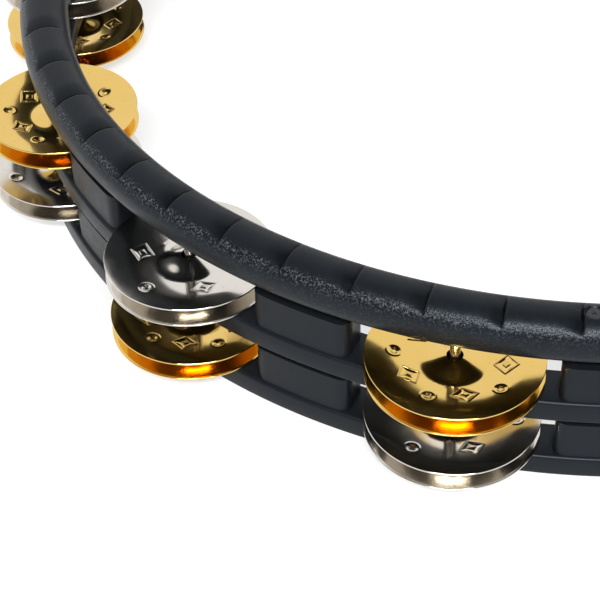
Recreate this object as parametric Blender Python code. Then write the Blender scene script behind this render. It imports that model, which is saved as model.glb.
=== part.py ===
"""Headless ring tambourine with two rows of loose jingle pairs.

Three black mouldings stack into one ring: a bottom ring and a middle ring, each
a rail with the pillars of a row of slots standing on it, and a thick rounded top
ring.  Screws clamp them.  A steel pin at each station runs through both rows and
carries two pairs of thin stamped jingles, which slide up and down on it.

Units are metres and +Z is up.  The hand grip is on the +Y side.  The origin is
the middle of the whole object's footprint, on the plane that it stands on, and
the jingles stick out at the front, so the ring's own centre lies a little
towards +Y of it.  Angles and radii below are about the ring's centre.
"""
import math

import bmesh
import bpy
from mathutils import Vector

MM = 0.001

# --- driving dimensions -----------------------------------------------------
RING_OUTER_RADIUS = 128.0 * MM     # outer face of the two flat rails
RAIL_WIDTH = 9.2 * MM              # radial width of the two flat rails
RAIL_HEIGHT = 5.0 * MM             # bottom rail and middle rail
SLOT_HEIGHT = 9.5 * MM             # clear height of each row of slots
TOP_RAIL_WIDTH = 10.8 * MM         # radial width of the rounded top rail
TOP_RAIL_HEIGHT = 9.6 * MM
RAIL_EDGE = 0.9 * MM               # chamfer along the rails' outer edges

POSITIONS = 13                     # equal divisions of the ring
STATIONS = 10                      # divisions that hold jingles, the rest is the grip

JINGLE_RADIUS = 17.0 * MM
JINGLE_SHEET = 0.5 * MM            # metal thickness
JINGLE_LIP_RISE = 2.2 * MM         # lip height above the middle of a pair
JINGLE_LIP_WIDTH = 3.2 * MM        # radial width of the turned-up lip
JINGLE_BELL_RADIUS = 6.4 * MM      # foot of the raised centre
PIN_RADIUS = 1.0 * MM
PIN_SEAT_DEPTH = 4.0 * MM          # how deep a pin reaches into the top ring
PIN_FLOOR = 1.0 * MM               # moulding left below a pin in the bottom ring

SLOT_END_GAP = 2.7 * MM            # jingle's rim to the pillar's hollow end wall
PILLAR_RECESS = 0.6 * MM           # pillar faces stand back from the rail faces
PILLAR_CORNER = 1.6 * MM

GRIP_SCALLOP_PITCH = 22.0 * MM     # finger hollows on the grip's inner face
GRIP_SCALLOP_DEPTH = 1.4 * MM
GRIP_SCALLOPS = 4

SCREW_HEAD_RADIUS = 1.7 * MM
SCREW_HEAD_HEIGHT = 1.6 * MM
SCREW_SHANK_RADIUS = 0.9 * MM
SCREW_HEAD_SINK = 0.35 * MM        # head's top below the rail's crown
SCREW_PILLARS = (-5, -3, 0, 3, 5)  # pillars counted from the one opposite the grip
SCREW_EDGE = 4.7 * MM              # screw's axis to the end wall of its pillar

# --- fits -------------------------------------------------------------------
TOUCH_GAP = 0.3 * MM               # air kept between pieces that touch
JINGLE_PLAY = 0.6 * MM             # air between a pin and a jingle's hole
WELD = 1.0 * MM                    # how deep a pillar is sunk into its own rail

# --- resolution -------------------------------------------------------------
RING_STEPS = 6 * POSITIONS
JINGLE_STEPS = 16
BORE_STEPS = 8
HEAD_STEPS = 12

# --- worked out -------------------------------------------------------------
RING_INNER_RADIUS = RING_OUTER_RADIUS - RAIL_WIDTH
PIN_CIRCLE = RING_OUTER_RADIUS - RAIL_WIDTH / 2
PITCH = 2 * math.pi / POSITIONS
JINGLE_FLAT_RADIUS = JINGLE_RADIUS - JINGLE_LIP_WIDTH
JINGLE_HOLE_RADIUS = PIN_RADIUS + JINGLE_PLAY
SLOT_END_RADIUS = JINGLE_RADIUS + SLOT_END_GAP
PIN_BORE_RADIUS = PIN_RADIUS + TOUCH_GAP
ROW_PITCH = RAIL_HEIGHT + SLOT_HEIGHT
BOTTOM_BASE = 0.0
MIDDLE_BASE = BOTTOM_BASE + ROW_PITCH
TOP_BASE = MIDDLE_BASE + ROW_PITCH
CROWN = TOP_BASE + TOP_RAIL_HEIGHT
PILLAR_OUTER = RING_OUTER_RADIUS - PILLAR_RECESS
PILLAR_INNER = RING_INNER_RADIUS + PILLAR_RECESS


def station_angle(index):
    """Angle of station 0, 1, ... counted anticlockwise, grip centred on +Y."""
    return -math.pi / 2 + (index - (STATIONS - 1) / 2) * PITCH


def polar(radius, angle, z=0.0):
    return Vector((radius * math.cos(angle), radius * math.sin(angle), z))


def ring_centre():
    """Where the ring's centre stands, so that the footprint is centred on the origin."""
    pins_forward = max(-math.sin(station_angle(i)) for i in range(STATIONS)) * PIN_CIRCLE
    front = pins_forward + JINGLE_RADIUS
    back = PIN_CIRCLE + TOP_RAIL_WIDTH / 2
    return Vector((0, (front - back) / 2, 0))


# --- materials --------------------------------------------------------------
def make_material(name, colour, roughness, metallic):
    material = bpy.data.materials.new(name)
    material.use_nodes = True
    shader = material.node_tree.nodes["Principled BSDF"]
    shader.inputs["Base Color"].default_value = (*colour, 1.0)
    shader.inputs["Roughness"].default_value = roughness
    shader.inputs["Metallic"].default_value = metallic
    material.diffuse_color = (*colour, 1.0)
    return material


# --- mesh helpers -----------------------------------------------------------
def finish_mesh(name, bm, smooth_angle=math.radians(35)):
    """Close off a bmesh: faces out, smooth where the shape is round."""
    bmesh.ops.recalc_face_normals(bm, faces=bm.faces)
    mesh = bpy.data.meshes.new(name)
    bm.to_mesh(mesh)
    bm.free()
    mesh.shade_smooth()
    mesh.set_sharp_from_angle(angle=smooth_angle)
    return mesh


def turned_mesh(name, profile, steps):
    """Turn a closed (radius, z) outline about Z; points at radius 0 become poles."""
    bm = bmesh.new()
    rings = []
    for radius, z in profile:
        if radius == 0:
            rings.append([bm.verts.new((0, 0, z))])
        else:
            rings.append([
                bm.verts.new(polar(radius, 2 * math.pi * step / steps, z))
                for step in range(steps)
            ])
    for here, there in zip(rings, rings[1:] + rings[:1]):
        if len(here) == 1 and len(there) == 1:
            continue
        for step in range(steps):
            after = (step + 1) % steps
            corners = [
                here[step % len(here)], here[after % len(here)],
                there[after % len(there)], there[step % len(there)],
            ]
            bm.faces.new(list(dict.fromkeys(corners)))
    return finish_mesh(name, bm)


def add_prism(bm, outline, low, high):
    """Add an upright prism on a closed plan outline to a bmesh."""
    bottom = [bm.verts.new((p.x, p.y, low)) for p in outline]
    top = [bm.verts.new((p.x, p.y, high)) for p in outline]
    bm.faces.new(bottom)
    bm.faces.new(top)
    for i in range(len(outline)):
        j = (i + 1) % len(outline)
        bm.faces.new((bottom[i], bottom[j], top[j], top[i]))


def circle_outline(centre, radius, steps):
    return [centre + polar(radius, 2 * math.pi * i / steps) for i in range(steps)]


def new_object(name, mesh, material, parent=None, location=(0, 0, 0), rotation=(0, 0, 0)):
    obj = bpy.data.objects.new(name, mesh)
    if material and not mesh.materials:
        mesh.materials.append(material)
    obj.parent = parent
    obj.location = location
    obj.rotation_euler = rotation
    bpy.context.collection.objects.link(obj)
    return obj


def new_empty(name, parent=None, location=(0, 0, 0), rotation=(0, 0, 0)):
    empty = bpy.data.objects.new(name, None)
    empty.empty_display_size = 5 * MM
    empty.parent = parent
    empty.location = location
    empty.rotation_euler = rotation
    bpy.context.collection.objects.link(empty)
    return empty


def new_tool(name, bm, parent):
    """A hidden solid that a Boolean modifier adds or cuts with."""
    tool = new_object(name, finish_mesh(name, bm), None, parent)
    tool.hide_render = True
    tool.display_type = "WIRE"
    return tool


def add_boolean(target, operation, tool):
    modifier = target.modifiers.new(f"{operation.lower()} {tool.name}", "BOOLEAN")
    modifier.operation = operation
    modifier.solver = "EXACT"
    modifier.object = tool


# --- frame outlines ---------------------------------------------------------
def wall_turn(radius):
    """Angle from a pin to its slot's hollow end wall, at a radius of the ring."""
    cosine = (radius**2 + PIN_CIRCLE**2 - SLOT_END_RADIUS**2) / (2 * radius * PIN_CIRCLE)
    return math.acos(cosine)


def span(low, high, count):
    return [low + (high - low) * i / (count - 1) for i in range(count)]


def pillar_outline(left, right, outer_steps, inner_steps, inner_radius):
    """Plan of the solid between the slots of the pins at angles left and right.

    inner_radius(angle) gives the inner face; the two end walls are hollow arcs
    that keep clear of the jingles.
    """
    outer_turn = wall_turn(PILLAR_OUTER) + PILLAR_CORNER / PILLAR_OUTER
    inner_turn = wall_turn(PILLAR_INNER) + PILLAR_CORNER / PILLAR_INNER
    wall = span(PILLAR_INNER + PILLAR_CORNER, PILLAR_OUTER - PILLAR_CORNER, 4)
    outer_angles = span(left + outer_turn, right - outer_turn, outer_steps)
    inner_angles = span(right - inner_turn, left + inner_turn, inner_steps)
    points = [polar(PILLAR_OUTER, a) for a in outer_angles]
    points += [polar(r, right - wall_turn(r)) for r in reversed(wall)]
    points += [polar(inner_radius(a), a) for a in inner_angles]
    points += [polar(r, left + wall_turn(r)) for r in wall]
    return points


def plain_inner(angle):
    return PILLAR_INNER


def scalloped_inner(angle):
    """Inner face of the grip, with a row of finger hollows about +Y."""
    along = (angle - math.pi / 2) * PILLAR_INNER
    if abs(along) > GRIP_SCALLOPS * GRIP_SCALLOP_PITCH / 2:
        return PILLAR_INNER
    phase = along / GRIP_SCALLOP_PITCH + GRIP_SCALLOPS / 2
    return PILLAR_INNER + GRIP_SCALLOP_DEPTH * (1 - math.cos(2 * math.pi * phase)) / 2


def pillars_bmesh(low, high):
    """All the pillars of one row, and the grip wall, between two heights."""
    bm = bmesh.new()
    for index in range(STATIONS - 1):
        left, right = station_angle(index), station_angle(index + 1)
        add_prism(bm, pillar_outline(left, right, 3, 3, plain_inner), low, high)
    left, right = station_angle(STATIONS - 1), station_angle(0) + 2 * math.pi
    grip_steps = round((right - left) * PILLAR_INNER / GRIP_SCALLOP_PITCH * 4)
    add_prism(bm, pillar_outline(left, right, 22, grip_steps, scalloped_inner), low, high)
    return bm


def holes_bmesh(pin_span, screw_span, head_span=None):
    """Bores for the pins and the screws, each between two heights."""
    bm = bmesh.new()
    for index in range(STATIONS):
        centre = polar(PIN_CIRCLE, station_angle(index))
        add_prism(bm, circle_outline(centre, PIN_BORE_RADIUS, BORE_STEPS), *pin_span)
    for pillar in SCREW_PILLARS:
        centre = screw_place(pillar)
        if head_span is None:
            shank = circle_outline(centre, SCREW_SHANK_RADIUS + TOUCH_GAP, BORE_STEPS)
            add_prism(bm, shank, *screw_span)
        else:
            add_stepped_hole(bm, centre, screw_span[0], *head_span)
    return bm


def add_stepped_hole(bm, centre, low, step, high):
    """A screw's clearance hole with a wider counterbore above the step."""
    levels = (
        (low, SCREW_SHANK_RADIUS + TOUCH_GAP),
        (step, SCREW_SHANK_RADIUS + TOUCH_GAP),
        (step, SCREW_HEAD_RADIUS + TOUCH_GAP),
        (high, SCREW_HEAD_RADIUS + TOUCH_GAP),
    )
    loops = []
    for z, radius in levels:
        outline = circle_outline(centre, radius, HEAD_STEPS)
        loops.append([bm.verts.new((p.x, p.y, z)) for p in outline])
    bm.faces.new(loops[0])
    bm.faces.new(loops[-1])
    for here, there in zip(loops, loops[1:]):
        for i in range(HEAD_STEPS):
            j = (i + 1) % HEAD_STEPS
            bm.faces.new((here[i], here[j], there[j], there[i]))


def screw_place(pillar):
    """A screw stands towards the clockwise end of its pillar."""
    half_pillar = PITCH / 2 - wall_turn(PIN_CIRCLE)
    offset = half_pillar - SCREW_EDGE / PIN_CIRCLE
    return polar(PIN_CIRCLE, -math.pi / 2 + pillar * PITCH - offset)


# --- frame pieces -----------------------------------------------------------
def rail_profile(base):
    """Flat rail: square inside, chamfered along both outer edges."""
    top = base + RAIL_HEIGHT
    return [
        (RING_INNER_RADIUS, base), (RING_OUTER_RADIUS - RAIL_EDGE, base),
        (RING_OUTER_RADIUS, base + RAIL_EDGE), (RING_OUTER_RADIUS, top - RAIL_EDGE),
        (RING_OUTER_RADIUS - RAIL_EDGE, top), (RING_INNER_RADIUS, top),
    ]


def top_rail_profile():
    """Rounded rail: flat underside, full corners below, an elliptical crown."""
    half = TOP_RAIL_WIDTH / 2
    middle = TOP_BASE + TOP_RAIL_HEIGHT / 2
    shape = [(-0.63, -1.0), (0.63, -1.0), (0.93, -0.62)]
    shape += [(math.cos(a), math.sin(a)) for a in span(0, math.pi, 7)]
    shape += [(-0.93, -0.62)]
    return [(PIN_CIRCLE + half * x, middle + TOP_RAIL_HEIGHT / 2 * z) for x, z in shape]


def build_ring(name, profile, pillars, holes, parent, material):
    """A turned rail, with its pillars added and its bores cut."""
    ring = new_object(name, turned_mesh(name, profile, RING_STEPS), material, parent)
    if pillars is not None:
        add_boolean(ring, "UNION", new_tool(f"{name}_pillars", pillars, parent))
    add_boolean(ring, "DIFFERENCE", new_tool(f"{name}_holes", holes, parent))


def build_bottom_ring(parent, material):
    rail_top = BOTTOM_BASE + RAIL_HEIGHT
    pillars = pillars_bmesh(rail_top - WELD, MIDDLE_BASE - TOUCH_GAP)
    holes = holes_bmesh((BOTTOM_BASE + PIN_FLOOR, MIDDLE_BASE), (rail_top, MIDDLE_BASE))
    build_ring("bottom_ring", rail_profile(BOTTOM_BASE), pillars, holes, parent, material)


def build_middle_ring(parent, material):
    rail_top = MIDDLE_BASE + RAIL_HEIGHT
    pillars = pillars_bmesh(rail_top - WELD, TOP_BASE - TOUCH_GAP)
    through = (MIDDLE_BASE - WELD, TOP_BASE + WELD)
    holes = holes_bmesh(through, through)
    build_ring("middle_ring", rail_profile(MIDDLE_BASE), pillars, holes, parent, material)


def build_top_ring(parent, material):
    head_seat = CROWN - SCREW_HEAD_SINK - SCREW_HEAD_HEIGHT - TOUCH_GAP
    holes = holes_bmesh(
        (TOP_BASE - WELD, TOP_BASE + PIN_SEAT_DEPTH),
        (TOP_BASE - WELD, CROWN),
        (head_seat, CROWN + WELD),
    )
    build_ring("top_ring", top_rail_profile(), None, holes, parent, material)


# --- hardware ---------------------------------------------------------------
def build_screws(parent, material):
    """Long screws from the crown down into the bottom ring's pillars."""
    head_top = CROWN - SCREW_HEAD_SINK
    head_low = head_top - SCREW_HEAD_HEIGHT
    tip = BOTTOM_BASE + RAIL_HEIGHT + TOUCH_GAP
    profile = [
        (0, tip), (SCREW_SHANK_RADIUS, tip + SCREW_SHANK_RADIUS),
        (SCREW_SHANK_RADIUS, head_low), (SCREW_HEAD_RADIUS, head_low),
        (SCREW_HEAD_RADIUS, head_top), (0, head_top),
    ]
    mesh = turned_mesh("frame_screw", profile, HEAD_STEPS)
    for number, pillar in enumerate(SCREW_PILLARS, start=1):
        new_object(f"frame_screw_{number}", mesh, material, parent, screw_place(pillar))


def pin_mesh():
    low = BOTTOM_BASE + PIN_FLOOR + TOUCH_GAP
    high = TOP_BASE + PIN_SEAT_DEPTH - TOUCH_GAP
    bm = bmesh.new()
    add_prism(bm, circle_outline(Vector(), PIN_RADIUS, HEAD_STEPS), low, high)
    return finish_mesh("jingle_pin", bm)


def jingle_profile():
    """Half of a pair, above the pair's middle: bell, flat face, turned-up lip."""
    face = TOUCH_GAP / 2 + JINGLE_SHEET
    bell_top = JINGLE_LIP_RISE
    return [
        (JINGLE_HOLE_RADIUS, bell_top),
        (JINGLE_HOLE_RADIUS, bell_top - JINGLE_SHEET),
        (JINGLE_BELL_RADIUS, face - JINGLE_SHEET),
        (JINGLE_FLAT_RADIUS, face - JINGLE_SHEET),
        (JINGLE_RADIUS, JINGLE_LIP_RISE - JINGLE_SHEET),
        (JINGLE_RADIUS, JINGLE_LIP_RISE),
        (JINGLE_FLAT_RADIUS, face),
        (JINGLE_BELL_RADIUS, face),
    ]


def build_station(index, parent, materials, meshes):
    """One pin and its four jingles, the metals swapped between the two rows."""
    angle = station_angle(index)
    number = f"{index + 1:02d}"
    station = new_empty(f"station_{number}", parent, polar(PIN_CIRCLE, angle), (0, 0, angle))
    new_object(f"jingle_pin_{number}", meshes["pin"], materials["pin"], station)
    metals = ("brass", "nickel") if index % 2 == 0 else ("nickel", "brass")
    rows = (("upper", MIDDLE_BASE, metals[0]), ("lower", BOTTOM_BASE, metals[1]))
    for row, base, metal in rows:
        middle = base + RAIL_HEIGHT + TOUCH_GAP + JINGLE_LIP_RISE
        for half, turn in (("top", 0.0), ("bottom", math.pi)):
            new_object(
                f"jingle_{number}_{row}_{half}", meshes[metal], materials[metal],
                station, (0, 0, middle), (turn, 0, 0),
            )


def clear_scene():
    for obj in list(bpy.data.objects):
        bpy.data.objects.remove(obj, do_unlink=True)


def main():
    clear_scene()
    materials = {
        "shell": make_material("black_moulding", (0.03, 0.032, 0.036), 0.45, 0.0),
        "brass": make_material("jingle_brass", (0.80, 0.55, 0.20), 0.15, 1.0),
        "nickel": make_material("jingle_nickel", (0.72, 0.69, 0.64), 0.12, 1.0),
        "pin": make_material("pin_steel", (0.60, 0.59, 0.57), 0.20, 1.0),
        "screw": make_material("black_screw", (0.04, 0.04, 0.045), 0.35, 1.0),
    }
    meshes = {
        "pin": pin_mesh(),
        "brass": turned_mesh("brass_jingle", jingle_profile(), JINGLE_STEPS),
        "nickel": turned_mesh("nickel_jingle", jingle_profile(), JINGLE_STEPS),
    }
    tambourine = new_empty("tambourine", location=ring_centre())
    build_bottom_ring(tambourine, materials["shell"])
    build_middle_ring(tambourine, materials["shell"])
    build_top_ring(tambourine, materials["shell"])
    build_screws(tambourine, materials["screw"])
    for index in range(STATIONS):
        build_station(index, tambourine, materials, meshes)


main()
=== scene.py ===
"""Finished look of a headless ring tambourine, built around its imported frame.

Three black mouldings make the ring: a rounded top rail with finger grooves, and
two flat rails with the pillars of the jingle slots.  Every jingle is a thin
stamped disc, in polished brass or nickel.  Lengths are metres, and +Z is up.
"""
import math
import random

import bmesh
import bpy
from bpy.props import (
    FloatProperty,
    FloatVectorProperty,
    IntProperty,
    PointerProperty,
)
from mathutils import Matrix, Vector
from mathutils.geometry import delaunay_2d_cdt


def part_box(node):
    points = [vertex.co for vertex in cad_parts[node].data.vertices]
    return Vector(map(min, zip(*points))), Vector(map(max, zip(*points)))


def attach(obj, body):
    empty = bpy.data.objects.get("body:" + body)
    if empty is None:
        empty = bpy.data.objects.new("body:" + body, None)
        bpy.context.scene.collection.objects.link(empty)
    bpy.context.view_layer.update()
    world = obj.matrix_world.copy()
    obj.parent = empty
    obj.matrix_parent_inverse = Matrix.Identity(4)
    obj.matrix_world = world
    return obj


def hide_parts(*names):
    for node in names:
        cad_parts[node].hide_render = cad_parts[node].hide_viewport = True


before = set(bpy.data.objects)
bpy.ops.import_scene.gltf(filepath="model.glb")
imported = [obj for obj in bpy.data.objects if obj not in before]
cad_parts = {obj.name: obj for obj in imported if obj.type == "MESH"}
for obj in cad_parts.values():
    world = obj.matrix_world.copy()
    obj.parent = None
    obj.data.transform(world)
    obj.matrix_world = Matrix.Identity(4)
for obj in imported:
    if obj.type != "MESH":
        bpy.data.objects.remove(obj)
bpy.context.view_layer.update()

bl_info = {
    "name": "Ring tambourine",
    "version": (1, 0, 0),
    "blender": (4, 5, 0),
    "location": "View3D > Sidebar > Tambourine",
    "description": "Builds the finished pieces of a headless ring tambourine",
    "category": "Add Mesh",
}

MM = 0.001
BRASS, NICKEL = "jingle_brass", "jingle_nickel"

# --- the frame's own places -------------------------------------------------
TOP_LOW, TOP_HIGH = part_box("top_ring")
MIDDLE_LOW, MIDDLE_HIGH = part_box("middle_ring")
BOTTOM_LOW, BOTTOM_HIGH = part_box("bottom_ring")
RING_CENTRE = Vector(((TOP_LOW.x + TOP_HIGH.x) / 2, (TOP_LOW.y + TOP_HIGH.y) / 2, 0))
RAIL_OUTER = (BOTTOM_HIGH.x - BOTTOM_LOW.x) / 2
TOP_OUTER = (TOP_HIGH.x - TOP_LOW.x) / 2
TOUCH_GAP = TOP_LOW.z - MIDDLE_HIGH.z
STATION_NUMBERS = sorted(name[-2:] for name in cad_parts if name.startswith("jingle_pin_"))
SCREW_NODES = sorted(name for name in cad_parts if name.startswith("frame_screw_"))


def box_centre(node):
    low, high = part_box(node)
    return (low + high) / 2


def angle_about_ring(point):
    return math.atan2(point.y - RING_CENTRE.y, point.x - RING_CENTRE.x)


PIN_PLACES = [box_centre(f"jingle_pin_{number}") for number in STATION_NUMBERS]
PIN_CIRCLE = sum((p - RING_CENTRE).to_2d().length for p in PIN_PLACES) / len(PIN_PLACES)
PIN_ANGLES = sorted(angle_about_ring(p) % (2 * math.pi) for p in PIN_PLACES)
RAIL_WIDTH = 2 * (RAIL_OUTER - PIN_CIRCLE)
TOP_WIDTH = 2 * (TOP_OUTER - PIN_CIRCLE)
TOP_HEIGHT = TOP_HIGH.z - TOP_LOW.z
LOWEST_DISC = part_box("jingle_01_lower_bottom")[0]
PAIR_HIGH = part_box("jingle_01_lower_top")[1].z
PAIR_RISE = (PAIR_HIGH - LOWEST_DISC.z) / 2
RAIL_HEIGHT = LOWEST_DISC.z - TOUCH_GAP - BOTTOM_LOW.z
JINGLE_RADIUS = max(
    (v.co - PIN_PLACES[0]).to_2d().length
    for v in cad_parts["jingle_01_lower_bottom"].data.vertices
)


# --- what a user may change -------------------------------------------------
def length(name, description, millimetres):
    return FloatProperty(
        name=name, description=description, default=millimetres * MM, min=0.0,
        unit="LENGTH", subtype="DISTANCE", precision=5,
    )


def angle(name, description, degrees):
    return FloatProperty(
        name=name, description=description, default=math.radians(degrees),
        unit="ROTATION", subtype="ANGLE",
    )


def factor(name, description, value):
    return FloatProperty(
        name=name, description=description, default=value, min=0.0, max=1.0, subtype="FACTOR",
    )


def colour(name, description, value):
    return FloatVectorProperty(
        name=name, description=description, default=value, size=3, min=0.0, max=1.0,
        subtype="COLOR",
    )


class MouldingLook(bpy.types.PropertyGroup):
    """Sizes and finish of the three black mouldings."""
    groove_count: IntProperty(
        name="Finger grooves", description="Grooves around the top rail", default=56, min=3,
    )
    groove_start: angle("First groove", "Angle of the first groove's step", -99.9)
    groove_depth: length("Groove depth", "Depth of a groove at its step", 0.6)
    notch_depth: length("Notch depth", "Depth of the line pressed along a groove's step", 0.2)
    notch_half: length("Notch reach", "Half the width of that line", 0.5)
    groove_reach: factor("Groove reach", "Share of the pitch that a groove's scoop takes", 0.32)
    smooth_edge: angle("Smooth edge", "Slope of the surface where the grained side begins", 50)
    smooth_dip: angle("Edge dip", "How far the smooth crown dips at a groove", 15)
    edge_radius: length("Edge radius", "Rounding along the rails' edges", 0.8)
    pillar_recess: length("Pillar recess", "How far pillars stand back from the rails", 0.6)
    outer_corner: length("Outer corner", "Rounding of the pillars' outer corners", 3.2)
    inner_corner: length("Inner corner", "Rounding of the pillars' inner corners", 2.2)
    slot_gap: length("Slot gap", "Jingle's rim to the hollow end wall", 2.7)
    parting_gap: length("Parting gap", "Height and depth of the line under each rail", 0.8)
    hollow_pitch: length("Hollow pitch", "Spacing of the grip's finger hollows", 22.0)
    hollow_depth: length("Hollow depth", "Depth of the grip's finger hollows", 1.4)
    hollow_count: IntProperty(
        name="Hollows", description="Finger hollows inside the grip", default=4, min=0,
    )
    tint: colour("Moulding", "Colour of the black moulding", (0.0068, 0.0082, 0.0104))
    # Painted sparkle highlight: the grained side's specks get this light colour in place of real glints.
    painted_sparkle: colour("Grain", "Colour of the grained side's raised specks", (0.075, 0.080, 0.088))
    gloss: factor("Crown roughness", "Roughness of the smooth moulding", 0.36)
    grain: length("Grain size", "Size of the grained side's pattern", 0.42)


class JingleLook(bpy.types.PropertyGroup):
    """Sizes and finish of the stamped discs."""
    sheet: length("Sheet", "Thickness of the metal", 0.34)
    hole: length("Hole radius", "Radius of the hole for the pin", 1.6)
    bell: length("Bell radius", "Foot of the raised centre, where a pair comes closest", 7.2)
    face_edge: length("Face edge", "Outer radius of the stamped part of the face", 14.2)
    rise_slope: angle("Face slope", "Slope of the face, rising outwards", 12.0)
    rim_slope: angle("Rim slope", "Slope of the outermost part of the face", 7.0)
    mark_width: length("Mark width", "Diagonal of the stamped lozenge across a radius", 5.8)
    mark_height: length("Mark height", "Diagonal of the stamped lozenge along a radius", 5.2)
    mark_radius: length("Mark circle", "Distance of the marks from the middle", 9.6)
    mark_relief: length("Mark relief", "Height of the stamped lines", 0.15)
    dimple_radius: length("Dimple radius", "Radius of a punched dimple", 1.3)
    dimple_depth: length("Dimple depth", "Depth of a punched dimple", 0.42)
    brass: colour("Brass", "Colour of the brass discs", (0.82, 0.56, 0.17))
    nickel: colour("Nickel", "Colour of the nickel discs", (0.74, 0.705, 0.65))
    steel: colour("Steel", "Colour of the pins", (0.58, 0.56, 0.53))
    polish: factor("Polish", "Roughness of the polished discs", 0.075)


class StageLook(bpy.types.PropertyGroup):
    """Floor, light and camera."""
    eye: FloatVectorProperty(
        name="Camera place", description="Where the camera stands",
        default=(-0.0413, -0.3446, 0.2441), size=3, unit="LENGTH", subtype="TRANSLATION",
    )
    heading: angle("Heading", "Camera's turn from +Y towards +X", -4.18)
    drop: angle("Drop", "How far the camera looks down", 42.09)
    roll: angle("Roll", "Camera's turn about its own line of sight", -1.71)
    lens: FloatProperty(
        name="Lens", description="Focal length on a 36 mm sensor", default=102.4, min=1.0,
        unit="CAMERA",
    )
    floor: colour("Floor", "Colour of the floor", (0.40, 0.40, 0.40))
    floor_size: FloatProperty(
        name="Floor size", description="Radius of the floor", default=6.0, min=1.0,
        unit="LENGTH", subtype="DISTANCE",
    )


# --- node material helpers --------------------------------------------------
def new_material(name):
    """A material with an empty tree but for its shader, and the tree itself."""
    material = bpy.data.materials.new(name)
    material.use_nodes = True
    return material, material.node_tree


def add_node(tree, kind, links=None, **settings):
    """A node with its settings; links maps its inputs to values or sockets."""
    node = tree.nodes.new(kind)
    for key, value in settings.items():
        setattr(node, key, value)
    for key, value in (links or {}).items():
        if isinstance(value, bpy.types.NodeSocket):
            tree.links.new(value, node.inputs[key])
        else:
            node.inputs[key].default_value = value
    return node


def noise(tree, coordinates, size, detail=2.0, roughness=0.5):
    """Noise whose features are about size metres across."""
    return add_node(tree, "ShaderNodeTexNoise", {
        "Vector": coordinates, "Scale": 1.0 / size, "Detail": detail, "Roughness": roughness,
    }).outputs["Fac"]


def map_range(tree, value, low, high, to_low, to_high):
    return add_node(tree, "ShaderNodeMapRange", {
        "Value": value, "From Min": low, "From Max": high, "To Min": to_low, "To Max": to_high,
    }).outputs["Result"]


def math_node(tree, operation, first, second):
    return add_node(tree, "ShaderNodeMath", {0: first, 1: second}, operation=operation).outputs[0]


def mix_colours(tree, share, first, second):
    node = add_node(tree, "ShaderNodeMix", {0: share}, data_type="RGBA")
    for index, value in ((6, first), (7, second)):
        if isinstance(value, bpy.types.NodeSocket):
            tree.links.new(value, node.inputs[index])
        else:
            node.inputs[index].default_value = (*value, 1.0)
    return node.outputs[2]


def object_coordinates(tree):
    return tree.nodes.new("ShaderNodeTexCoord").outputs["Object"]


def shade(tint, amount):
    return tuple(min(1.0, c * amount) for c in tint)


def moulding_material(look):
    """Black moulding: satin where smooth, grained where its mask says; painted sparkle and pocket shade."""
    material, tree = new_material("black_moulding_finish")
    shader = tree.nodes["Principled BSDF"]
    place = object_coordinates(tree)
    mask = add_node(tree, "ShaderNodeAttribute", attribute_name="grain").outputs["Fac"]
    cloud = noise(tree, place, 24 * MM, 3.0)
    specks = noise(tree, place, 1.3 * MM, 4.0, 0.7)
    grain = noise(tree, place, look.grain, 2.0, 0.6)
    scuffs = noise(tree, add_node(tree, "ShaderNodeMapping", {
        "Vector": place, "Scale": (1.0, 0.12, 1.0),
    }).outputs["Vector"], 0.8 * MM, 3.0, 0.6)
    hollow = add_node(tree, "ShaderNodeAttribute", attribute_name="hollow").outputs["Fac"]
    plain = mix_colours(tree, cloud, shade(look.tint, 0.85), shade(look.tint, 1.15))
    dust = map_range(tree, specks, 0.68, 0.8, 0.0, 0.25)
    dusty = mix_colours(tree, dust, plain, shade(look.tint, 2.2))
    # Painted shade: where the hollow attribute marks the grooves' pockets and notch lines, the colour drops
    # to 8% of the tint.
    dusty_with_painted_shade = mix_colours(tree, hollow, dusty, shade(look.tint, 0.08))
    # Painted highlight: specks on the grained side take the light sparkle colour and stand in for glints of
    # light.
    painted_sparkle_share = math_node(tree, "MULTIPLY", mask, map_range(tree, grain, 0.5, 0.68, 0.0, 1.0))
    tree.links.new(mix_colours(tree, painted_sparkle_share, dusty_with_painted_shade, look.painted_sparkle), shader.inputs["Base Color"])
    satin = map_range(tree, scuffs, 0.3, 0.75, look.gloss - 0.05, look.gloss + 0.07)
    rough = map_range(tree, grain, 0.3, 0.7, 0.22, 0.36)
    mixed = add_node(tree, "ShaderNodeMix", {0: mask, 2: satin, 3: rough}).outputs[0]
    tree.links.new(mixed, shader.inputs["Roughness"])
    shader.inputs["Specular IOR Level"].default_value = 0.17
    shader.inputs["Specular Tint"].default_value = (0.80, 0.90, 1.0, 1.0)
    strength = map_range(tree, mask, 0.0, 1.0, 0.04, 1.0)
    fine = add_node(tree, "ShaderNodeBump", {
        "Height": grain, "Strength": strength, "Distance": 0.12 * MM,
    })
    broad = add_node(tree, "ShaderNodeBump", {
        "Height": cloud, "Strength": 0.25, "Distance": 0.4 * MM, "Normal": fine.outputs["Normal"],
    })
    tree.links.new(broad.outputs["Normal"], shader.inputs["Normal"])
    return material


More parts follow.
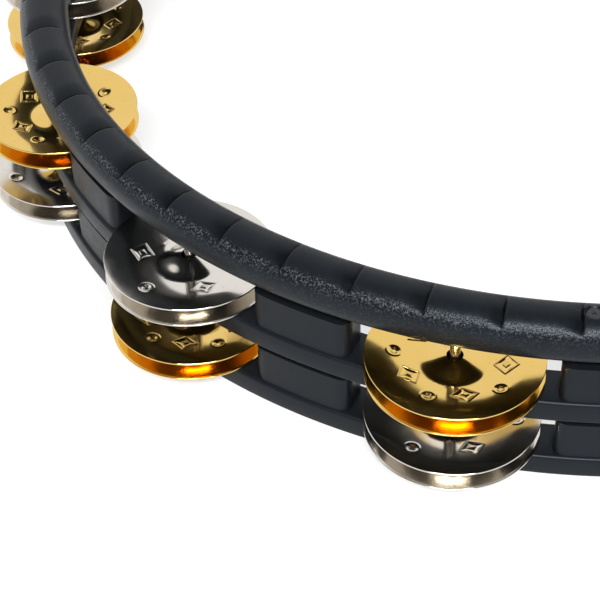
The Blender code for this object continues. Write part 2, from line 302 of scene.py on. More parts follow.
def polished_material(name, tint, polish, tarnish):
    """Polished sheet metal: fine turning lines, smudges, darker in its stamped corners."""
    material, tree = new_material(name)
    shader = tree.nodes["Principled BSDF"]
    shader.inputs["Metallic"].default_value = 1.0
    place = object_coordinates(tree)
    smudge = noise(tree, place, 6 * MM, 4.0, 0.6)
    lines = noise(tree, place, 0.35 * MM, 2.0)
    relief = add_node(tree, "ShaderNodeAttribute", attribute_name="stamped").outputs["Fac"]
    spots = map_range(tree, noise(tree, place, 1.1 * MM, 3.0, 0.65), 0.66, 0.78, 0.0, 0.5)
    base = mix_colours(tree, smudge, shade(tint, 0.94), shade(tint, 1.05))
    spotted = mix_colours(tree, spots, base, tarnish)
    tree.links.new(mix_colours(tree, relief, spotted, shade(tint, 0.9)), shader.inputs["Base Color"])
    blur = map_range(tree, smudge, 0.3, 0.75, polish, polish + 0.10)
    tree.links.new(math_node(tree, "ADD", blur, math_node(tree, "MULTIPLY", relief, 0.05)),
                   shader.inputs["Roughness"])
    bump = add_node(tree, "ShaderNodeBump", {
        "Height": lines, "Strength": 0.04, "Distance": 0.02 * MM,
    })
    tree.links.new(bump.outputs["Normal"], shader.inputs["Normal"])
    return material


def drawn_steel_material(look):
    """Drawn wire: streaks along its length."""
    material, tree = new_material("pin_steel_finish")
    shader = tree.nodes["Principled BSDF"]
    shader.inputs["Metallic"].default_value = 1.0
    stretched = add_node(tree, "ShaderNodeMapping", {
        "Vector": object_coordinates(tree), "Scale": (1.0, 1.0, 0.06),
    }).outputs["Vector"]
    streaks = noise(tree, stretched, 0.25 * MM, 3.0)
    tint = mix_colours(tree, streaks, shade(look.steel, 0.8), shade(look.steel, 1.15))
    tree.links.new(tint, shader.inputs["Base Color"])
    rough = map_range(tree, streaks, 0.3, 0.7, 0.14, 0.32)
    tree.links.new(rough, shader.inputs["Roughness"])
    bump = add_node(tree, "ShaderNodeBump", {
        "Height": streaks, "Strength": 0.15, "Distance": 0.02 * MM,
    })
    tree.links.new(bump.outputs["Normal"], shader.inputs["Normal"])
    return material


def screw_material():
    """Blackened steel, rubbed a little brighter in patches."""
    material, tree = new_material("black_screw_finish")
    shader = tree.nodes["Principled BSDF"]
    shader.inputs["Metallic"].default_value = 0.1
    wear = noise(tree, object_coordinates(tree), 0.5 * MM, 4.0, 0.7)
    tint = mix_colours(
        tree, map_range(tree, wear, 0.5, 0.75, 0.0, 0.6), (0.012, 0.013, 0.015), (0.05, 0.05, 0.055),
    )
    tree.links.new(tint, shader.inputs["Base Color"])
    rough = map_range(tree, wear, 0.3, 0.7, 0.42, 0.28)
    tree.links.new(rough, shader.inputs["Roughness"])
    return material


def floor_material(look):
    """Pale matt floor, barely uneven, with a faint glow of its own."""
    material, tree = new_material("studio_floor")
    shader = tree.nodes["Principled BSDF"]
    soft = noise(tree, object_coordinates(tree), 0.4, 2.0)
    tree.links.new(mix_colours(tree, soft, shade(look.floor, 0.99), look.floor),
                   shader.inputs["Base Color"])
    shader.inputs["Roughness"].default_value = 0.9
    shader.inputs["Specular IOR Level"].default_value = 0.1
    shader.inputs["Emission Color"].default_value = (1.0, 1.0, 1.0, 1.0)
    shader.inputs["Emission Strength"].default_value = 0.62
    return material


# --- mesh helpers -----------------------------------------------------------
def polar(radius, turn, z=0.0):
    return Vector((radius * math.cos(turn), radius * math.sin(turn), z))


def smooth_step(value, low, high):
    share = min(1.0, max(0.0, (value - low) / (high - low)))
    return share * share * (3 - 2 * share)


def span(low, high, count):
    return [low + (high - low) * i / (count - 1) for i in range(count)]


def mesh_from(bm, name, crease=math.radians(40)):
    bmesh.ops.recalc_face_normals(bm, faces=bm.faces)
    mesh = bpy.data.meshes.new(name)
    bm.to_mesh(mesh)
    bm.free()
    mesh.shade_smooth()
    mesh.set_sharp_from_angle(angle=crease)
    return mesh


def place_object(name, mesh, material, place=(0, 0, 0)):
    piece = bpy.data.objects.new(name, mesh)
    piece.location = place
    if not mesh.materials:
        mesh.materials.append(material)
    bpy.context.collection.objects.link(piece)
    return piece


def bridge_rings(bm, rings):
    """Faces between neighbouring rings of vertices, each ring closed on itself."""
    for here, there in zip(rings, rings[1:]):
        count = len(here)
        for i in range(count):
            j = (i + 1) % count
            bm.faces.new((here[i], here[j], there[j], there[i]))


def add_lathe(bm, profile, steps):
    """Turn a closed outline of (radius, z) points about Z into a bmesh."""
    columns = []
    for step in range(steps):
        turn = 2 * math.pi * step / steps
        columns.append([bm.verts.new(polar(radius, turn, z)) for radius, z in profile])
    bridge_rings(bm, columns + columns[:1])


def apply_boolean(piece, operation, bm):
    """Joins or cuts with a bmesh and keeps the result as the piece's mesh."""
    tool_mesh = mesh_from(bm, "tool")
    tool = bpy.data.objects.new("tool", tool_mesh)
    tool.location = piece.location
    bpy.context.collection.objects.link(tool)
    modifier = piece.modifiers.new("cut", "BOOLEAN")
    modifier.operation = operation
    modifier.solver = "EXACT"
    modifier.object = tool
    bpy.context.view_layer.update()
    evaluated = piece.evaluated_get(bpy.context.evaluated_depsgraph_get())
    result = bpy.data.meshes.new_from_object(evaluated)
    piece.modifiers.remove(modifier)
    piece.data = result
    bpy.data.objects.remove(tool, do_unlink=True)
    bpy.data.meshes.remove(tool_mesh)


def finish_piece(piece, body, slot, *nodes):
    """Rides a piece on its body in place of the nodes that it stands for."""
    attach(piece, body)
    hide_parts(*nodes)
    return piece


# --- mouldings --------------------------------------------------------------
def groove_share(look, turn):
    """0 on the plain crown, rising through a groove's scoop to 1 at its step."""
    pitch = 2 * math.pi / look.groove_count
    back = ((look.groove_start - turn) / pitch) % 1.0
    if back < look.groove_reach:
        return (1 - back / look.groove_reach) ** 1.3
    ahead = 1.0 - back
    return 1 - smooth_step(ahead, 0.0, 0.035) if ahead < 0.035 else 0.0


def groove_notch(look, turn):
    """1 in the middle of the line pressed along a groove's step, 0 away from it."""
    pitch = 2 * math.pi / look.groove_count
    away = abs(((turn - look.groove_start) / pitch + 0.5) % 1.0 - 0.5) * pitch * PIN_CIRCLE
    return 1 - smooth_step(away, 0.0, look.notch_half)


def groove_turns(look):
    """Angles of the top rail's columns, close together at the grooves' steps."""
    pitch = 2 * math.pi / look.groove_count
    shares = [0.012, 0.024, 0.036, 0.06] + span(0.11, 0.5, 7)
    shares += span(0.55, 0.92, 9) + [0.95, 0.962, 0.974, 0.987, 1.0]
    return [
        look.groove_start + pitch * (k + share)
        for k in range(look.groove_count) for share in shares
    ]


def top_section(slope):
    """Point of the top rail's section at a slope angle: round above, fuller below."""
    x, z = math.cos(slope), math.sin(slope)
    if z < 0:
        fullness = (abs(x) ** 2.8 + abs(z) ** 2.8) ** (-1 / 2.8)
        x, z = x * fullness, z * fullness
    return TOP_WIDTH / 2 * x, TOP_HEIGHT / 2 * z


def top_rail_mesh(look):
    """Rounded rail with a row of scooped grooves across its crown."""
    bm = bmesh.new()
    grain = bm.verts.layers.float.new("grain")
    hollow = bm.verts.layers.float.new("hollow")
    slopes = span(math.radians(-180), math.radians(180), 57)[:-1]
    middle = (TOP_LOW.z + TOP_HIGH.z) / 2
    columns = []
    for turn in groove_turns(look):
        scoop, notch = groove_share(look, turn), groove_notch(look, turn)
        edge = look.smooth_edge - look.smooth_dip * scoop
        column = []
        for slope in slopes:
            x, z = top_section(slope)
            over = smooth_step(slope, edge - math.radians(5), edge + math.radians(17))
            over *= 1 - smooth_step(slope, math.radians(100), math.radians(138))
            line = smooth_step(slope, math.radians(62), math.radians(72))
            line *= 1 - smooth_step(slope, math.radians(104), math.radians(126))
            depth = look.groove_depth * scoop * over + look.notch_depth * notch * line
            x -= depth * math.cos(slope)
            z -= depth * math.sin(slope)
            vert = bm.verts.new(polar(PIN_CIRCLE + x, turn, middle + z))
            inner = smooth_step(slope, math.radians(150), math.radians(156))
            outer = 1 - smooth_step(slope, edge - math.radians(2), edge + math.radians(3))
            # Grain mask: coarser near the smooth edge, and it keeps the painted sparkle to the band that the
            # key light catches.
            coarse_and_sparkle_band = 0.15 + 0.85 * smooth_step(slope, math.radians(12), math.radians(40))
            vert[grain] = max(0.15 * inner, outer * coarse_and_sparkle_band)
            # hollow marks the grooves' pockets and notch lines, where the moulding's material paints shade.
            vert[hollow] = min(1.0, (scoop + notch) * over)
            column.append(vert)
        columns.append(column)
    bridge_rings(bm, columns + columns[:1])
    return mesh_from(bm, "top_rail", math.radians(50))


def rail_section(look, base):
    """Flat rail's section: a rectangle with four rounded corners."""
    inner, outer = RAIL_OUTER - RAIL_WIDTH, RAIL_OUTER
    radius = look.edge_radius
    corners = (
        (outer - radius, base + radius, -90), (outer - radius, base + RAIL_HEIGHT - radius, 0),
        (inner + radius, base + RAIL_HEIGHT - radius, 90), (inner + radius, base + radius, 180),
    )
    points = []
    for x, z, start in corners:
        for turn in span(math.radians(start), math.radians(start + 90), 6):
            points.append((x + radius * math.cos(turn), z + radius * math.sin(turn)))
    return points


def wall_turn(radius, reach):
    """Angle from a pin to its slot's hollow end wall, at a radius of the ring."""
    return math.acos((radius**2 + PIN_CIRCLE**2 - reach**2) / (2 * radius * PIN_CIRCLE))


def round_corner(before, corner, after, count=8):
    """Points of a soft corner between two points, drawn towards a third."""
    return [
        before.lerp(corner, share).lerp(corner.lerp(after, share), share)
        for share in span(0.0, 1.0, count)
    ]


def pillar_outline(look, left, right, inner_radius, inset):
    """Plan of the wall between the slots of the pins at angles left and right."""
    reach = JINGLE_RADIUS + look.slot_gap + inset
    outer = RAIL_OUTER - look.pillar_recess - inset
    inner = RAIL_OUTER - RAIL_WIDTH + look.pillar_recess + inset
    outer_turn, inner_turn = wall_turn(outer, reach), wall_turn(inner, reach)
    outer_end = outer_turn + look.outer_corner / outer
    inner_end = inner_turn + look.inner_corner / inner
    steps = max(9, round((right - left) * outer / (1.2 * MM)))
    faces = []
    for pin, side in ((right, -1), (left, 1)):
        wall = [polar(r, pin + side * wall_turn(r, reach))
                for r in span(outer - look.outer_corner, inner + look.inner_corner, 9)]
        outer_corner = polar(outer, pin + side * outer_turn)
        inner_corner = polar(inner, pin + side * inner_turn)
        outer_start = polar(outer, pin + side * outer_end)
        inner_start = polar(inner, pin + side * inner_end)
        faces.append(
            round_corner(outer_start, outer_corner, wall[0]) + wall[1:-1]
            + round_corner(wall[-1], inner_corner, inner_start)
        )
    right_end, left_end = faces
    outer_face = [polar(outer, turn)
                  for turn in span(left + outer_end, right - outer_end, steps)]
    inner_face = [polar(inner_radius(turn) + inset, turn)
                  for turn in span(right - inner_end, left + inner_end, steps)]
    return outer_face[1:-1] + right_end + inner_face[1:-1] + left_end[::-1]


def add_prism(bm, outline, low, high):
    """Upright prism on a closed plan outline."""
    bottom = [bm.verts.new((p.x, p.y, low)) for p in outline]
    top = [bm.verts.new((p.x, p.y, high)) for p in outline]
    bm.faces.new(bottom)
    bm.faces.new(top)
    bridge_rings(bm, [bottom, top])


def add_pillars(bm, look, low, high):
    """Pillars between the slots, and the wall of the grip with its finger hollows."""
    inner = RAIL_OUTER - RAIL_WIDTH + look.pillar_recess
    turns = PIN_ANGLES + [PIN_ANGLES[0] + 2 * math.pi]
    gaps = list(zip(turns, turns[1:]))
    grip = max(gaps, key=lambda gap: gap[1] - gap[0])
    middle = sum(grip) / 2

    def hollowed(turn):
        along = (turn - middle) * inner
        if abs(along) > look.hollow_count * look.hollow_pitch / 2:
            return inner
        phase = along / look.hollow_pitch + look.hollow_count / 2
        return inner + look.hollow_depth * (1 - math.cos(2 * math.pi * phase)) / 2

    neck = high - look.parting_gap
    for gap in gaps:
        inner_radius = hollowed if gap == grip else (lambda turn: inner)
        add_prism(bm, pillar_outline(look, *gap, inner_radius, 0.0), low, neck)
        add_prism(bm, pillar_outline(look, *gap, inner_radius, look.parting_gap), neck, high)


def flat_rail(name, look, material, low, high, node):
    """A flat rail with its row of pillars, from its base to the pillars' tops."""
    bm = bmesh.new()
    add_lathe(bm, rail_section(look, low), 468)
    piece = place_object(name, mesh_from(bm, name), material, RING_CENTRE)
    pillars = bmesh.new()
    add_pillars(pillars, look, low + RAIL_HEIGHT / 2, high)
    apply_boolean(piece, "UNION", pillars)
    piece.data.shade_smooth()
    piece.data.set_sharp_from_angle(angle=math.radians(35))
    return finish_piece(piece, "frame", "black_moulding", node)


# --- jingles ----------------------------------------------------------------
DISC_STEPS = 144
BRASS_MARKS, BRASS_DIMPLE_CIRCLE = 5, 11.4 * MM
NICKEL_MARKS, NICKEL_DIMPLE_CIRCLE = 3, 12.3 * MM
BRASS_TARNISH, NICKEL_TARNISH = (0.35, 0.16, 0.03), (0.20, 0.17, 0.14)
TURN_SEED = 11
# Degrees that the upper and the lower row's top disc are turned at a station.
STATION_TURNS = {"03": (2, 30), "04": (53, 49), "05": (64, 52)}


def soft_min(first, second, blend):
    """The lesser of two heights, with the crease between them rounded."""
    return (first + second - math.hypot(first - second, blend)) / 2


def disc_height(look, radius):
    """Upper surface of a disc above its pair's middle: a bell inside a rising dish."""
    foot = TOUCH_GAP / 2 + look.sheet
    if radius < look.bell:
        wave = (1 + math.cos(math.pi * radius / look.bell)) / 2
        lead = math.tan(look.rise_slope) * (radius - look.bell) * (radius / look.bell) ** 4
        return foot + (PAIR_RISE - foot) * wave + lead
    inner = foot + (radius - look.bell) * math.tan(look.rise_slope)
    outer = PAIR_RISE - (JINGLE_RADIUS - radius) * math.tan(look.rim_slope)
    return soft_min(inner, outer, 0.08 * MM)


def lozenge_depth(look, across, along, scale):
    """How far inside a lozenge's outline a point lies, from its own centre."""
    half_width, half_height = look.mark_width / 2 * scale, look.mark_height / 2 * scale
    inside = 1 - abs(across) / half_width - abs(along) / half_height
    return inside * half_width * half_height / math.hypot(half_width, half_height)


INNER_LOZENGE = 0.36
RIDGE_MIDDLE = 0.26 * MM
RIDGE_HALF = 0.24 * MM


def mark_relief(look, across, along):
    """Height of a stamped lozenge: an outline ridge round a small raised lozenge."""
    ridge = abs(lozenge_depth(look, across, along, 1.0) - RIDGE_MIDDLE) / RIDGE_HALF
    boss = lozenge_depth(look, across, along, INNER_LOZENGE) / RIDGE_HALF
    return look.mark_relief * max(1 - smooth_step(ridge, 0.15, 1.0), smooth_step(boss, 0.0, 1.0))


def dimple_relief(look, distance):
    """Height of a punched dimple: a round pit inside a low raised rim."""
    share = distance / look.dimple_radius
    pit = -look.dimple_depth * (1 - smooth_step(share, 0.1, 0.85))
    rim = 0.5 * look.mark_relief * math.exp(-((share - 1.05) / 0.16) ** 2)
    return pit + rim


def stamp_places(look, count, dimple_circle):
    """Marks and the dimples midway between them, as (kind, place, turn)."""
    places = []
    for k in range(count):
        turn = 2 * math.pi * k / count
        places.append(("mark", polar(look.mark_radius, turn), turn))
        turn += math.pi / count
        places.append(("dimple", polar(dimple_circle, turn), turn))
    return places


def stamped_relief(look, stamps, point):
    """Height that all the stamps together add at a point of the face."""
    total = 0.0
    for kind, place, turn in stamps:
        away = Vector((point.x - place.x, point.y - place.y))
        if kind == "mark" and away.length < look.mark_width:
            along = away.x * math.cos(turn) + away.y * math.sin(turn)
            across = away.y * math.cos(turn) - away.x * math.sin(turn)
            total += mark_relief(look, across, along)
        elif kind == "dimple" and away.length < 2 * look.dimple_radius:
            total += dimple_relief(look, away.length)
    return total


def lozenge_loop(look, place, turn, scale, inset):
    """Points of a lozenge outline, inset from its edge, with slightly blunt corners."""
    half_width, half_height = look.mark_width / 2 * scale, look.mark_height / 2 * scale
    shrink = 1 - inset * math.hypot(half_width, half_height) / (half_width * half_height)
    steps = 40 if scale == 1.0 else 16
    points = []
    for step in range(steps):
        a = 2 * math.pi * step / steps
        across = half_width * shrink * math.copysign(abs(math.cos(a)) ** 1.9, math.cos(a))
        along = half_height * shrink * math.copysign(abs(math.sin(a)) ** 1.9, math.sin(a))
        points.append(place + Vector((
            along * math.cos(turn) - across * math.sin(turn),
            along * math.sin(turn) + across * math.cos(turn), 0,
        )))
    return points


def stamp_loops(look, stamps):
    """Closed outlines that carry the detail of the marks and dimples."""
    loops = []
    for kind, place, turn in stamps:
        if kind == "mark":
            for inset in (-0.02, 0.10, 0.20, 0.32, 0.42, 0.52):
                loops.append(lozenge_loop(look, place, turn, 1.0, inset * MM))
            for inset in (-0.03, 0.10, 0.24):
                loops.append(lozenge_loop(look, place, turn, INNER_LOZENGE, inset * MM))
        else:
            for share in (0.12, 0.32, 0.5, 0.68, 0.85, 0.97, 1.08, 1.22, 1.4):
                radius = look.dimple_radius * share
                loops.append([place + polar(radius, 2 * math.pi * k / 20) for k in range(20)])
    return loops


def face_triangles(look, stamps):
    """Plan points and triangles of the stamped part of the face."""
    points, edges = [], []

    def add_loop(loop):
        first = len(points)
        points.extend(p.to_2d() for p in loop)
        edges.extend((first + i, first + (i + 1) % len(loop)) for i in range(len(loop)))

    for radius in (look.bell, look.face_edge):
        add_loop([polar(radius, 2 * math.pi * k / DISC_STEPS) for k in range(DISC_STEPS)])
    for loop in stamp_loops(look, stamps):
        add_loop(loop)
    rings = round((look.face_edge - look.bell) / (0.5 * MM))
    for ring, radius in enumerate(span(look.bell, look.face_edge, rings + 1)[1:-1]):
        for k in range(DISC_STEPS):
            point = polar(radius, 2 * math.pi * (k + 0.5 * (ring % 2 == 0)) / DISC_STEPS)
            clear = all(
                (point - place).length > (look.mark_width * 0.56 if kind == "mark"
                                          else look.dimple_radius * 1.65)
                for kind, place, turn in stamps
            )
            if clear:
                points.append(point.to_2d())
    verts, _, faces, *_ = delaunay_2d_cdt(points, edges, [], 0, 1e-7)
    floor = look.bell * math.cos(math.pi / DISC_STEPS) * 0.999
    kept = [f for f in faces if (sum((verts[i] for i in f), Vector((0, 0))) / 3).length > floor]
    return verts, kept


def disc_mesh(look, name, material, count, dimple_circle):
    """A stamped disc whose middle plane is the pair's, facing up."""
    stamps = stamp_places(look, count, dimple_circle)
    bm = bmesh.new()
    stamped = bm.verts.layers.float.new("stamped")

    def surface(point):
        return disc_height(look, point.to_2d().length) + stamped_relief(look, stamps, point)

    verts, faces = face_triangles(look, stamps)
    plan = []
    for point in verts:
        point = Vector((point.x, point.y, 0))
        vert = bm.verts.new((point.x, point.y, surface(point)))
        vert[stamped] = min(1.0, abs(stamped_relief(look, stamps, point)) / look.mark_relief)
        plan.append(vert)
    for face in faces:
        bm.faces.new([plan[i] for i in face])
    bell = [(r, disc_height(look, r)) for r in span(look.hole, look.bell, 15)]
    edge = 0.12 * MM
    rim = [(r, disc_height(look, r)) for r in span(look.face_edge, JINGLE_RADIUS - edge, 11)]
    rim += [(JINGLE_RADIUS - edge * (1 - math.sin(a)),
             disc_height(look, JINGLE_RADIUS) - edge * (1 - math.cos(a)))
            for a in span(0.4, math.pi / 2, 3)]
    rim.append((JINGLE_RADIUS, disc_height(look, JINGLE_RADIUS) - look.sheet + edge / 2))
    under = [(r, disc_height(look, r) - look.sheet)
             for r in span(JINGLE_RADIUS - edge / 2, look.hole, 34)]
    burr = [(look.hole, bell[0][1] - look.sheet), (look.hole - 0.03 * MM, bell[0][1] - 0.12 * MM)]
    outline = rim + under + burr[1:] + bell
    rings = [
        [bm.verts.new(polar(r, 2 * math.pi * k / DISC_STEPS, z)) for k in range(DISC_STEPS)]
        for r, z in outline
    ]
    bridge_rings(bm, rings)
    bmesh.ops.remove_doubles(bm, verts=bm.verts, dist=0.0005 * MM)
    mesh = mesh_from(bm, name, math.radians(42))
    set_exact_normals(mesh, surface)
    mesh.materials.append(material)
    return mesh


def set_exact_normals(mesh, surface):
    """Corner normals of the upper face straight from the surface's own slope."""
    reach = 0.03 * MM
    exact = {}
    for vert in mesh.vertices:
        point = Vector((vert.co.x, vert.co.y, 0))
        radius = point.length
        on_top = abs(surface(point) - vert.co.z) < 0.001 * MM
        if on_top and 2.0 * MM < radius < JINGLE_RADIUS - 0.15 * MM:
            x_slope = surface(point + Vector((reach, 0, 0))) - surface(point - Vector((reach, 0, 0)))
            y_slope = surface(point + Vector((0, reach, 0))) - surface(point - Vector((0, reach, 0)))
            exact[vert.index] = Vector((-x_slope, -y_slope, 2 * reach)).normalized()
    normals = [Vector(corner.vector) for corner in mesh.corner_normals]
    for loop in mesh.loops:
        normal = exact.get(loop.vertex_index)
        if normal is not None and normals[loop.index].z > 0.2:
            normals[loop.index] = normal
    mesh.normals_split_custom_set(normals)


def is_brass(number, row):
    """Metals swap between the rows from one station to the next."""
    return (int(number) % 2 == 1) == (row == "upper")


def build_jingles(look):
    """Every disc of every pair, each spun its own way on its pin."""
    brass_finish = polished_material(
        "jingle_brass_finish", look.brass, look.polish, BRASS_TARNISH)
    brass_mesh = disc_mesh(
        look, "brass_disc", brass_finish, BRASS_MARKS, BRASS_DIMPLE_CIRCLE)
    nickel_finish = polished_material(
        "jingle_nickel_finish", look.nickel, look.polish, NICKEL_TARNISH)
    nickel_mesh = disc_mesh(
        look, "nickel_disc", nickel_finish, NICKEL_MARKS, NICKEL_DIMPLE_CIRCLE)
    turns = random.Random(TURN_SEED)
    for number, place in zip(STATION_NUMBERS, PIN_PLACES):
        chosen = STATION_TURNS.get(number)
        for row in ("upper", "lower"):
            brass = is_brass(number, row)
            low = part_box(f"jingle_{number}_{row}_bottom")[0].z
            for half, flip in (("top", 0.0), ("bottom", math.pi)):
                spin = turns.uniform(0, 2 * math.pi)
                if chosen and half == "top":
                    spin = math.radians(chosen[row == "lower"])
                disc = place_object(f"disc_{number}_{row}_{half}", brass_mesh if brass else nickel_mesh, None)
                disc.location = (place.x, place.y, low + PAIR_RISE)
                disc.rotation_euler = (flip, 0, spin)
                node = f"jingle_{number}_{row}_{half}"
                finish_piece(disc, node, BRASS if brass else NICKEL, node)


# --- pins and screws --------------------------------------------------------
SCREW_SHANK_RADIUS = 0.9 * MM
SCREW_HEAD_HEIGHT = 1.6 * MM
SCREW_HEAD_CURVE = 0.35 * MM     # height of the rounded part of a head
SCREW_WELL_DEPTH = 1.7 * MM
SCREW_SLOT_DEPTH = 0.7 * MM
SCREW_SPIN = 0.7                 # radians from one screw to the next


def build_pins(look):
    """Drawn steel pins with rounded ends."""
    low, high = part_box(f"jingle_pin_{STATION_NUMBERS[0]}")
    radius = (high.x - low.x) / 2
    half = (high.z - low.z) / 2
    end = 0.25 * MM
    profile = [(0.02 * MM, -half), (radius - end, -half)]
    profile += [(radius - end + end * math.sin(a), end - half - end * math.cos(a))
                for a in span(0.2, math.pi / 2, 4)]
    profile += [(r, -z) for r, z in reversed(profile)]
    bm = bmesh.new()
    add_lathe(bm, profile, 28)
    mesh = mesh_from(bm, "steel_pin")
    material = drawn_steel_material(look)
    for number, place in zip(STATION_NUMBERS, PIN_PLACES):
        pin = place_object(f"steel_pin_{number}", mesh, material, place)
        finish_piece(pin, "frame", "pin_steel", f"jingle_pin_{number}")


def build_screws():
    """Cross-recess screws sunk in the crown."""
    low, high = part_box(SCREW_NODES[0])
    head, shank = (high.x - low.x) / 2, SCREW_SHANK_RADIUS
    top, bottom = high.z - low.z, 0.0
    dome = 0.25 * MM
    profile = [(0.02 * MM, bottom), (shank, bottom + shank), (shank, top - SCREW_HEAD_HEIGHT)]
    curve_foot = top - SCREW_HEAD_CURVE
    profile += [(head, top - SCREW_HEAD_HEIGHT), (head, curve_foot)]
    profile += [(head - dome * (1 - math.cos(a)) * 2, curve_foot + 0.33 * MM * math.sin(a))
                for a in span(0.3, math.pi / 2, 5)]
    profile += [(head * share, top) for share in (0.6, 0.3, 0.02)]
    bm = bmesh.new()
    add_lathe(bm, profile, 40)
    material = screw_material()
    first = place_object("screw_blank", mesh_from(bm, "cross_screw"), material)
    for turn in (0.0, math.pi / 2):
        slot = bmesh.new()
        spin = Matrix.Rotation(turn, 4, "Z")
        size = Vector((head * 1.05, head * 0.2, SCREW_SLOT_DEPTH))
        for vert in bmesh.ops.create_cube(slot, size=1.0)["verts"]:
            taper = 0.45 if vert.co.z < 0 else 1.0
            vert.co = spin @ Vector((vert.co.x * size.x * taper, vert.co.y * size.y * taper,
                                     top + vert.co.z * size.z))
        apply_boolean(first, "DIFFERENCE", slot)
    mesh = first.data
    bpy.data.objects.remove(first)
    for node in SCREW_NODES:
        low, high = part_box(node)
        place = Vector(((low.x + high.x) / 2, (low.y + high.y) / 2, low.z))
        screw = place_object(node.replace("frame_", "cross_"), mesh, material, place)
        screw.rotation_euler.z = SCREW_SPIN * int(node[-1])
        finish_piece(screw, "frame", "black_screw", node)


def build_top_rail(look, material):
    """The top rail, with a well for every screw's head."""
    rail = place_object("top_rail", top_rail_mesh(look), material, RING_CENTRE)
    wells = bmesh.new()
    for node in SCREW_NODES:
        low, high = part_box(node)
        centre = (low + high) / 2 - RING_CENTRE
        radius = (high.x - low.x) / 2 + 0.05 * MM
        circle = [Vector((centre.x, centre.y, 0)) + polar(radius, 2 * math.pi * k / 40)
                  for k in range(40)]
        add_prism(wells, circle, high.z - SCREW_WELL_DEPTH, high.z + 2 * MM)
    apply_boolean(rail, "DIFFERENCE", wells)
    return finish_piece(rail, "frame", "black_moulding", "top_ring")


# --- stage ------------------------------------------------------------------
KEY_HEADING, KEY_HEIGHT = 0, 47      # degrees
KEY_DISTANCE, KEY_SIZE = 1.1, (0.7, 0.16)
KEY_POWER = 19.0


def build_world():
    """Studio surroundings: white behind and along the horizon, darker in front and above."""
    world = bpy.data.worlds.new("studio")
    bpy.context.scene.world = world
    world.use_nodes = True
    tree = world.node_tree
    direction = tree.nodes.new("ShaderNodeTexCoord").outputs["Generated"]
    parts = add_node(tree, "ShaderNodeSeparateXYZ", {0: direction}).outputs
    behind = map_range(tree, parts["Y"], -0.10, 0.30, 0.0, 1.0)
    below_top = map_range(tree, parts["Z"], 0.97, 0.86, 0.0, 1.0)
    white = math_node(tree, "MULTIPLY", behind, below_top)
    horizon = map_range(tree, parts["Z"], 0.20, 0.08, 0.0, 1.0)
    level = math_node(tree, "MAXIMUM", math_node(tree, "MAXIMUM", white, horizon), 0.10)
    tree.links.new(level, tree.nodes["Background"].inputs["Strength"])
    tree.nodes["Background"].inputs["Color"].default_value = (1.0, 1.0, 1.0, 1.0)


def add_softbox(name, heading, height, distance, size, power):
    """Area light aimed at the ring's front, hidden from the camera."""
    data = bpy.data.lights.new(name, "AREA")
    data.shape = "RECTANGLE"
    data.size, data.size_y = size
    data.energy = power
    light = bpy.data.objects.new(name, data)
    bpy.context.collection.objects.link(light)
    turn, rise = math.radians(heading), math.radians(height)
    back = Vector((math.sin(turn) * math.cos(rise), -math.cos(turn) * math.cos(rise),
                   math.sin(rise)))
    target = RING_CENTRE + Vector((0, -PIN_CIRCLE / 2, 0.03))
    light.location = target + back * distance
    light.rotation_mode = "QUATERNION"
    light.rotation_quaternion = (-back).to_track_quat("-Z", "Y")
    light.visible_camera = False


def build_stage(look):
    """Floor, surroundings, key light and camera."""
    bm = bmesh.new()
    bmesh.ops.create_circle(bm, cap_ends=True, radius=look.floor_size, segments=96)
    floor = place_object("floor", mesh_from(bm, "floor"), floor_material(look), (0, 0, -0.0001))
    build_world()
    add_softbox("key", KEY_HEADING, KEY_HEIGHT, KEY_DISTANCE, KEY_SIZE, KEY_POWER)
    data = bpy.data.cameras.new("camera")
    data.lens, data.sensor_width = look.lens, 36.0
    data.clip_start, data.clip_end = 0.01, 50.0
    camera = bpy.data.objects.new("camera", data)
    bpy.context.collection.objects.link(camera)
    camera.location = look.eye
    sight = (Matrix.Rotation(-look.heading, 4, "Z")
             @ Matrix.Rotation(math.pi / 2 - look.drop, 4, "X")
             @ Matrix.Rotation(look.roll, 4, "Z"))
    camera.rotation_euler = sight.to_euler()
    scene = bpy.context.scene
    scene.camera = camera
    scene.view_settings.view_transform = "Standard"


# --- add-on -----------------------------------------------------------------
def shared_material(name, maker, look):
    """The material of that name, made when it isn't there yet."""
    return bpy.data.materials.get(name) or maker(look)


class TAMBOURINE_OT_top_rail(bpy.types.Operator):
    """Build the rounded top rail with its finger grooves"""
    bl_idname = "tambourine.top_rail"
    bl_label = "Top rail"

    def execute(self, context):
        look = context.scene.tambourine_moulding
        build_top_rail(look, shared_material("black_moulding_finish", moulding_material, look))
        return {"FINISHED"}


class TAMBOURINE_OT_flat_rails(bpy.types.Operator):
    """Build the middle and bottom rails with their pillars and the grip"""
    bl_idname = "tambourine.flat_rails"
    bl_label = "Flat rails"

    def execute(self, context):
        look = context.scene.tambourine_moulding
        material = shared_material("black_moulding_finish", moulding_material, look)
        flat_rail("middle_rail", look, material, MIDDLE_LOW.z, MIDDLE_HIGH.z, "middle_ring")
        flat_rail("bottom_rail", look, material, BOTTOM_LOW.z, BOTTOM_HIGH.z, "bottom_ring")
        return {"FINISHED"}


class TAMBOURINE_OT_jingles(bpy.types.Operator):
    """Build the stamped discs of every jingle pair"""
    bl_idname = "tambourine.jingles"
    bl_label = "Jingles"

    def execute(self, context):
        build_jingles(context.scene.tambourine_jingles)
        return {"FINISHED"}


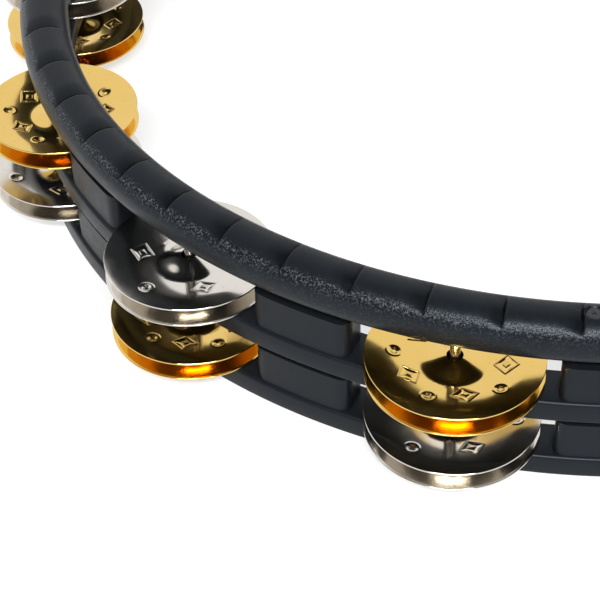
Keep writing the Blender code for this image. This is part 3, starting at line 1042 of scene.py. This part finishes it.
class TAMBOURINE_OT_pins(bpy.types.Operator):
    """Build the steel pins that carry the jingles"""
    bl_idname = "tambourine.pins"
    bl_label = "Pins"

    def execute(self, context):
        build_pins(context.scene.tambourine_jingles)
        return {"FINISHED"}


class TAMBOURINE_OT_screws(bpy.types.Operator):
    """Build the screws that clamp the mouldings"""
    bl_idname = "tambourine.screws"
    bl_label = "Screws"

    def execute(self, context):
        build_screws()
        return {"FINISHED"}


class TAMBOURINE_OT_stage(bpy.types.Operator):
    """Build the floor, light and camera"""
    bl_idname = "tambourine.stage"
    bl_label = "Stage"

    def execute(self, context):
        build_stage(context.scene.tambourine_stage)
        return {"FINISHED"}


STEPS = (
    TAMBOURINE_OT_top_rail, TAMBOURINE_OT_flat_rails, TAMBOURINE_OT_jingles,
    TAMBOURINE_OT_pins, TAMBOURINE_OT_screws, TAMBOURINE_OT_stage,
)
LOOKS = {
    "tambourine_moulding": MouldingLook,
    "tambourine_jingles": JingleLook,
    "tambourine_stage": StageLook,
}


class TAMBOURINE_PT_pieces(bpy.types.Panel):
    """Lists the sizes, the finishes and the building steps"""
    bl_idname = "TAMBOURINE_PT_pieces"
    bl_label = "Tambourine"
    bl_space_type = "VIEW_3D"
    bl_region_type = "UI"
    bl_category = "Tambourine"

    def draw(self, context):
        for name, group in LOOKS.items():
            box = self.layout.box()
            for key in group.__annotations__:
                box.prop(getattr(context.scene, name), key)
        for step in STEPS:
            self.layout.operator(step.bl_idname)


def register():
    for group in LOOKS.values():
        bpy.utils.register_class(group)
    for step in (*STEPS, TAMBOURINE_PT_pieces):
        bpy.utils.register_class(step)
    for name, group in LOOKS.items():
        setattr(bpy.types.Scene, name, PointerProperty(type=group))


def unregister():
    for name in LOOKS:
        delattr(bpy.types.Scene, name)
    for step in (TAMBOURINE_PT_pieces, *STEPS):
        bpy.utils.unregister_class(step)
    for group in LOOKS.values():
        bpy.utils.unregister_class(group)


def main():
    register()
    bpy.ops.tambourine.top_rail()
    bpy.ops.tambourine.flat_rails()
    bpy.ops.tambourine.jingles()
    bpy.ops.tambourine.pins()
    bpy.ops.tambourine.screws()
    bpy.ops.tambourine.stage()


if __name__ == "__main__":
    main()
